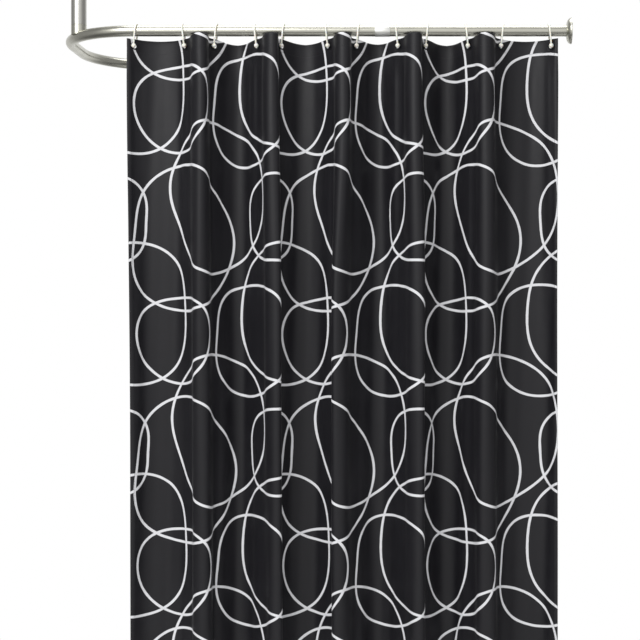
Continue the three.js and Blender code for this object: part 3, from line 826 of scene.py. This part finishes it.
# %% [markdown]
# Between two hooks the top edge isn't level. Where the cloth falls back it sags into a soft V.
# Where it swings forward it stands up a little, because the fold's own stiffness lifts it. The
# difference dies away further down. Slight ripples along the folds and pulls below each eyelet
# keep the sheet from looking ruled.

# %% Sag, lift and ripples
SAG = [2.5, -9, 10, -9, 10, -9.5, 7, -9.5, 11, -10, 2.5]  # mm down at the middle of each panel
share_in = np.clip((across_s - EDGE_MARGIN) / PANEL, 0, PANELS - 1e-6)
share = share_in - np.floor(share_in)
bow = np.sin(np.pi * share)
pointed = 0.5 * bow + 0.5 * (1 - np.abs(2 * share - 1))
sag = np.array(SAG)[np.floor(share_in).astype(int)]
drop_by = np.where(sag > 0, sag * pointed, sag * bow**2) * MM
z = cloth_top - down[:, None] - drop_by[None] * (1 - 0.7 * ease(down, 0.0, 1.5))[:, None]

free_of_eyelets = ease(down, 0.045, 0.12)[:, None]
ripple = (
    0.9 * np.sin(2 * np.pi * across_s / 0.071 + 2.1 * down[:, None])
    + 0.7 * np.sin(2 * np.pi * across_s / 0.113 - 3.4 * down[:, None] + 1.0)
    + 0.5 * np.sin(2 * np.pi * across_s / 0.043 + 5.0 * down[:, None] + 2.0)
)
pull = sum(
    np.cos(2 * np.pi * (across_s - s) / 0.024) * np.exp(-(((across_s - s) / 0.03) ** 2))
    for s in eyelet_s
)
pull = pull[None] * np.exp(-np.clip(down - 0.045, 0, None) / 0.16)[:, None]
shift = (ripple * 1.1 + pull * 0.9) * MM * free_of_eyelets
slope_x, slope_y = np.gradient(x, step, axis=1), np.gradient(y, step, axis=1)
length = np.hypot(slope_x, slope_y)
back_x, back_y = -slope_y / length, slope_x / length
hang = np.stack([x + shift * back_x, y + shift * back_y, z], axis=2)
backwards = np.stack([back_x, back_y, np.zeros_like(z)], axis=2)
print("Ripples up to", round(float(np.abs(shift).max()) / MM, 1), "mm")


# %% Looking up a point of the flat cloth
def on_cloth(s, t, behind=0.0):
    """Where points of the flat cloth hang: s from its left edge, t below its top edge."""
    i = np.clip(np.asarray(t, float) / CLOTH_DROP * (ROWS - 1), 0, ROWS - 1.001)
    j = np.clip(np.asarray(s, float) / step, 0, COLUMNS - 1.001)
    i0, j0 = i.astype(int), j.astype(int)
    a, b = (i - i0)[..., None], (j - j0)[..., None]
    found = []
    for table in (hang, backwards):
        upper = table[i0, j0] * (1 - b) + table[i0, j0 + 1] * b
        lower = table[i0 + 1, j0] * (1 - b) + table[i0 + 1, j0 + 1] * b
        found.append(upper * (1 - a) + lower * a)
    return found[0] + found[1] * behind


print("First eyelet hangs at", on_cloth(eyelet_s[:1], [0.02])[0].round(4))

# %% [markdown]
# ## Cloth and hems
#
# The sheet is a flat grid whose lines are close together round the eyelets and wider apart
# elsewhere. Faces inside each eyelet are removed and the hole's rim is rounded. Every vertex is
# then moved from its flat place to where it hangs, and its flat place is kept as its UV. A hem is
# the same cloth turned over to the back, so it is a second, narrower grid just behind the first.

# %% Grid lines
HOLE = 8.9 * MM
EYELET_DROP = 20 * MM  # from the top edge to an eyelet's centre
ROUND_HOLE = np.array([-HOLE, -HOLE / 2, 0, HOLE / 2, HOLE])


def columns_between(start, end):
    """Grid lines across the cloth, from start to end."""
    lines = [start, end, SIDE_HEM, CLOTH_WIDTH - SIDE_HEM]
    for s in eyelet_s:
        lines += [s - HELD_FLAT, *(s + ROUND_HOLE), s + HELD_FLAT]
    for s in eyelet_s[:-1]:
        lines += list(np.linspace(s + HELD_FLAT, s + PANEL - HELD_FLAT, 19))
    return tidy_lines(lines, start, end)


def rows_between(start, end):
    """Grid lines down the cloth, from start to end."""
    lines = [start, end, *(EYELET_DROP + ROUND_HOLE), 5 * MM, 34 * MM, HEADING, 47 * MM]
    lines += list(np.linspace(54 * MM, CLOTH_DROP - BOTTOM_HEM, 118))
    lines += [CLOTH_DROP - 20 * MM, CLOTH_DROP - 10 * MM]
    return tidy_lines(lines, start, end)


def tidy_lines(lines, start, end):
    """Sorts lines, drops those outside, and drops one of any two that nearly meet."""
    kept_lines = []
    for value in sorted(x for x in lines if start - 1e-9 <= x <= end + 1e-9):
        if not kept_lines or value - kept_lines[-1] > 0.4 * MM:
            kept_lines.append(value)
    kept_lines[-1] = end
    return np.array(kept_lines)


print(len(columns_between(0, CLOTH_WIDTH)), "columns and", len(rows_between(0, CLOTH_DROP)), "rows")


# %% Making a band of cloth
def cloth_band(name, s_range, t_range, behind, thickness, finishes, stands_for,
               turned_over=None):
    """A band of the sheet. turned_over mirrors its print about that edge, as a turned hem does."""
    columns, rows = columns_between(*s_range), rows_between(*t_range)
    bm = bmesh.new()
    bmesh.ops.create_grid(bm, x_segments=len(columns) - 1, y_segments=len(rows) - 1, size=1)
    cells = [(len(columns) - 1) / 2, (len(rows) - 1) / 2]
    flat = {}
    for vert in bm.verts:
        column = round((vert.co.x + 1) * cells[0])
        row = round((1 - vert.co.y) * cells[1])
        flat[vert] = [columns[column], rows[row]]
    holes = []
    for face in bm.faces:
        s, t = np.mean([flat[v] for v in face.verts], axis=0)
        near_eyelet = np.abs(eyelet_s - s).min()
        if near_eyelet < HOLE and abs(t - EYELET_DROP) < HOLE:
            holes.append(face)
    bmesh.ops.delete(bm, geom=holes, context="FACES")
    for vert in bm.verts:
        s, t = flat[vert]
        off_s = s - eyelet_s[np.abs(eyelet_s - s).argmin()]
        off_t = t - EYELET_DROP
        if abs(max(abs(off_s), abs(off_t)) - HOLE) < 0.01 * MM and t < 2 * EYELET_DROP:
            pull_in = HOLE / math.hypot(off_s, off_t)
            flat[vert] = [s + off_s * (pull_in - 1), t + off_t * (pull_in - 1)]
    bm.verts.ensure_lookup_table()
    places = np.array([flat[v] for v in bm.verts])
    for vert, co in zip(bm.verts, on_cloth(places[:, 0], places[:, 1], behind)):
        vert.co = co
    layer = bm.loops.layers.uv.new("flat_cloth")
    for face in bm.faces:
        for corner in face.loops:
            s, t = flat[corner.vert]
            if turned_over == "down":
                t = 2 * t_range[1] - t if t_range[1] == CLOTH_DROP else -t
            if turned_over == "across":
                s = -s if s_range[0] == 0 else 2 * CLOTH_WIDTH - s
            corner[layer].uv = (s, t)
    piece = add_piece(name, bm, "curtain", finishes[0], stands_for, open_sheet=True)
    for finish in finishes[1:]:
        piece.data.materials.append(finish)
    front = np.array([p.normal[:] for p in piece.data.polygons[:40]]).mean(axis=0)
    wanted = -backwards[0, int(round(columns[0] / step)) + 2]
    if front @ wanted < 0:
        piece.data.flip_normals()
    wall = piece.modifiers.new("thickness", "SOLIDIFY")
    wall.thickness, wall.offset = thickness, 0
    wall.material_offset = wall.material_offset_rim = len(finishes) - 1
    return piece


cloth = cloth_band(
    "curtain_cloth", (0, CLOTH_WIDTH), (0, CLOTH_DROP), 0, 0.5 * MM,
    [printed_polyester, polyester_back], ["curtain_panel"],
)
print("Cloth has", len(cloth.data.polygons), "faces before its thickness")

# %% Hems
HEM_BEHIND, HEM_THICK = 0.58 * MM, 0.6 * MM
between = (HEADING + 0.3 * MM, CLOTH_DROP - BOTTOM_HEM - 0.3 * MM)
hem_rows = {
    "heading_hem": ((0, CLOTH_WIDTH), (0, HEADING), "curtain_heading", "down"),
    "bottom_hem": (
        (0, CLOTH_WIDTH), (CLOTH_DROP - BOTTOM_HEM, CLOTH_DROP), "curtain_bottom_hem", "down",
    ),
    "left_side_hem": ((0, SIDE_HEM), between, "curtain_left_hem", "across"),
    "right_side_hem": (
        (CLOTH_WIDTH - SIDE_HEM, CLOTH_WIDTH), between, "curtain_right_hem", "across",
    ),
}
hems = [
    cloth_band(name, s_range, t_range, HEM_BEHIND, HEM_THICK, [printed_polyester],
               [node], turned)
    for name, (s_range, t_range, node, turned) in hem_rows.items()
]
print("Hems:", [h.name for h in hems])

# %% [markdown]
# ## Stitching
#
# A lockstitch row holds each hem. It shows as short dashes of thread on both faces. Each dash is
# a six-sided rod with closed ends, because at this size a rounder one would not look different.


# %% Stitch rows
STITCH_PITCH, STITCH_LENGTH, THREAD = 4.5 * MM, 3.1 * MM, 0.32 * MM


def stitch_row(name, start, end):
    """Dashes from one point of the flat cloth to another, on its front and behind its hem."""
    start, end = np.array(start, float), np.array(end, float)
    length = np.linalg.norm(end - start)
    count = int(length / STITCH_PITCH)
    middles = (np.arange(count) + 0.5) / count
    reach = (end - start) / length * STITCH_LENGTH / 2
    centres = start + middles[:, None] * (end - start)
    bm = bmesh.new()
    for behind in (-0.3 * MM, HEM_BEHIND + HEM_THICK / 2 + 0.05 * MM):
        heads = on_cloth(*(centres - reach).T, behind)
        tails = on_cloth(*(centres + reach).T, behind)
        for head, tail in zip(heads, tails):
            head, tail = Vector(head), Vector(tail)
            turn = (tail - head).to_track_quat("Z", "Y").to_matrix().to_4x4()
            bmesh.ops.create_cone(
                bm, cap_ends=True, segments=6, radius1=THREAD, radius2=THREAD,
                depth=(tail - head).length, matrix=Matrix.Translation((head + tail) / 2) @ turn,
            )
    layer = bm.loops.layers.uv.new("flat_cloth")
    for face in bm.faces:
        for corner in face.loops:
            corner[layer].uv = (corner.vert.co.x, corner.vert.co.z)
    return add_piece(name, bm, "curtain", sewing_thread)


LINE_IN = 3 * MM  # from a row of stitches to the hem's turned edge
FIRST_STITCH = 2 * MM  # from the cloth's side edge
stitching = [
    stitch_row("heading_stitching", (FIRST_STITCH, HEADING - LINE_IN),
               (CLOTH_WIDTH - FIRST_STITCH, HEADING - LINE_IN)),
    stitch_row("bottom_stitching", (FIRST_STITCH, CLOTH_DROP - BOTTOM_HEM + LINE_IN),
               (CLOTH_WIDTH - FIRST_STITCH, CLOTH_DROP - BOTTOM_HEM + LINE_IN)),
    stitch_row("left_stitching", (SIDE_HEM - LINE_IN, HEADING),
               (SIDE_HEM - LINE_IN, CLOTH_DROP - BOTTOM_HEM)),
    stitch_row("right_stitching", (CLOTH_WIDTH - SIDE_HEM + LINE_IN, HEADING),
               (CLOTH_WIDTH - SIDE_HEM + LINE_IN, CLOTH_DROP - BOTTOM_HEM)),
]
print("Stitches:", sum(len(s.data.polygons) for s in stitching) // 8)

# %% [markdown]
# ## Eyelets
#
# An eyelet is a spool that is pressed together through the heading: a barrel with a flange on
# each face. It is a turned shape, so its outline is spun. Each one faces the way the cloth does
# there, and rides with its own hook.

# %% Eyelets
spool = [
    (6.5, -1.4), (6.8, -1.75), (10.2, -1.8), (10.7, -1.6), (10.8, -1.3), (10.6, -1.0), (7.5, -1.0),
    (7.5, 1.0), (10.6, 1.0), (10.8, 1.3), (10.7, 1.6), (10.2, 1.8), (6.8, 1.75), (6.5, 1.4),
]
body_of = {n: b for b, nodes in frame["record"]["behaviour"]["bodies"].items() for n in nodes}
eyelet_at = []
for number in range(1, PANELS + 2):
    low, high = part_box(f"eyelet_{number:02d}")
    centre = (low + high) / 2
    eyelet_at.append(centre)
    turn = EYELET_TURN if number % 2 else -EYELET_TURN
    place = Matrix.Translation(centre) @ Matrix.Rotation(turn, 4, "Z")
    place @= Matrix.Rotation(math.radians(90), 4, "X")
    node = f"eyelet_{number:02d}"
    add_piece(f"eyelet_ring_{number:02d}", turned(spool, 40, place), body_of[node],
              black_nylon, [node])
print(len(eyelet_at), "eyelets, the first at", [round(v, 4) for v in eyelet_at[0]])

# %% [markdown]
# ## Hooks
#
# A hook is one moulded wire: a ball in front of the cloth, a leg up to the rail, an arch over
# it, a leg down behind, and a tip that comes forward through the eyelet. The wire is swept along
# a smooth curve through a few known places, and the ball is part of the same sweep, with a radius
# that follows a sphere. The hooks lean in pairs, because a forward fold draws two together.

# %% The hook's path
CROWN, LEG_OUT, WIRE = 19.7, 21.7, 2.5  # mm
WIRE_LOW = -42
known = [(-CROWN * 0.72, WIRE_LOW - 3), (-LEG_OUT * 0.9, WIRE_LOW * 0.7)]
known += [
    (LEG_OUT * math.cos(math.radians(a)), CROWN * math.sin(math.radians(a)))
    for a in range(180, -1, -30)
]
known += [(LEG_OUT * 0.9, WIRE_LOW * 0.6), (LEG_OUT * 0.5, WIRE_LOW * 0.92), (0, WIRE_LOW)]
known += [(-CROWN * 0.27, WIRE_LOW + 0.8)]
known = [Vector((0, y * MM, z * MM)) for y, z in known]
wire_path = []
for i in range(len(known) - 1):
    before, start, end, after = (known[max(i - 1, 0)], known[i], known[i + 1],
                                 known[min(i + 2, len(known) - 1)])
    wire_path += geometry.interpolate_bezier(
        start, start + (end - before) / 6, end - (after - start) / 6, end, 6
    )[:-1]
wire_path.append(known[-1])
print("Hook path has", len(wire_path), "points")

# %% One hook
BALL = 6.6 * MM
ball_at, leg_way = known[0], (known[1] - known[0]).normalized()
where_wire_leaves = math.degrees(math.pi - math.asin(WIRE * MM / BALL))
ball_steps = [math.radians(6 + (where_wire_leaves - 6) * i / 14) for i in range(15)]
path = [ball_at - leg_way * BALL * math.cos(a) for a in ball_steps]
radii = [BALL * math.sin(a) for a in ball_steps]
beyond = [p for p in wire_path if (p - ball_at).length > BALL * 1.05]
path, radii = path + beyond, radii + [WIRE * MM] * len(beyond)
tip_way = (path[-1] - path[-2]).normalized()
for a in (30, 55, 75, 86):
    path.append(beyond[-1] + tip_way * WIRE * MM * math.sin(math.radians(a)))
    radii.append(WIRE * MM * math.cos(math.radians(a)))
hook_bm = bmesh.new()
for loop in sweep(hook_bm, path, radii, (1, 0, 0), 16):
    bmesh.ops.contextual_create(hook_bm, geom=loop)
hook_mesh = bpy.data.meshes.new("hook_shape")
hook_bm.to_mesh(hook_mesh)
hook_bm.free()
print("One hook has", len(hook_mesh.polygons), "faces")

# %% All hooks
HOOK_LEAN = math.radians(6)
for number, centre in enumerate(eyelet_at, start=1):
    lean = HOOK_LEAN if number % 2 else -HOOK_LEAN
    place = Matrix.Translation((centre.x - centre.z * math.sin(lean), FRONT_Y, 0))
    place @= Matrix.Rotation(lean, 4, "Y")
    bm = bmesh.new()
    bm.from_mesh(hook_mesh)
    bmesh.ops.transform(bm, matrix=place, verts=bm.verts)
    node = f"hook_{number:02d}"
    add_piece(f"wire_hook_{number:02d}", bm, body_of[node],
                           cream_acetal, [node])
bpy.data.meshes.remove(hook_mesh)

# %% [markdown]
# ## Moving
#
# When the curtain is drawn, the hooks slide towards the last one and the cloth between them
# gathers. Here the cloth, its hems and its stitches each get a mesh of their own.

# %% Meshes of their own for the cloth pieces
for piece in [cloth, *hems, *stitching]:
    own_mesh(piece)
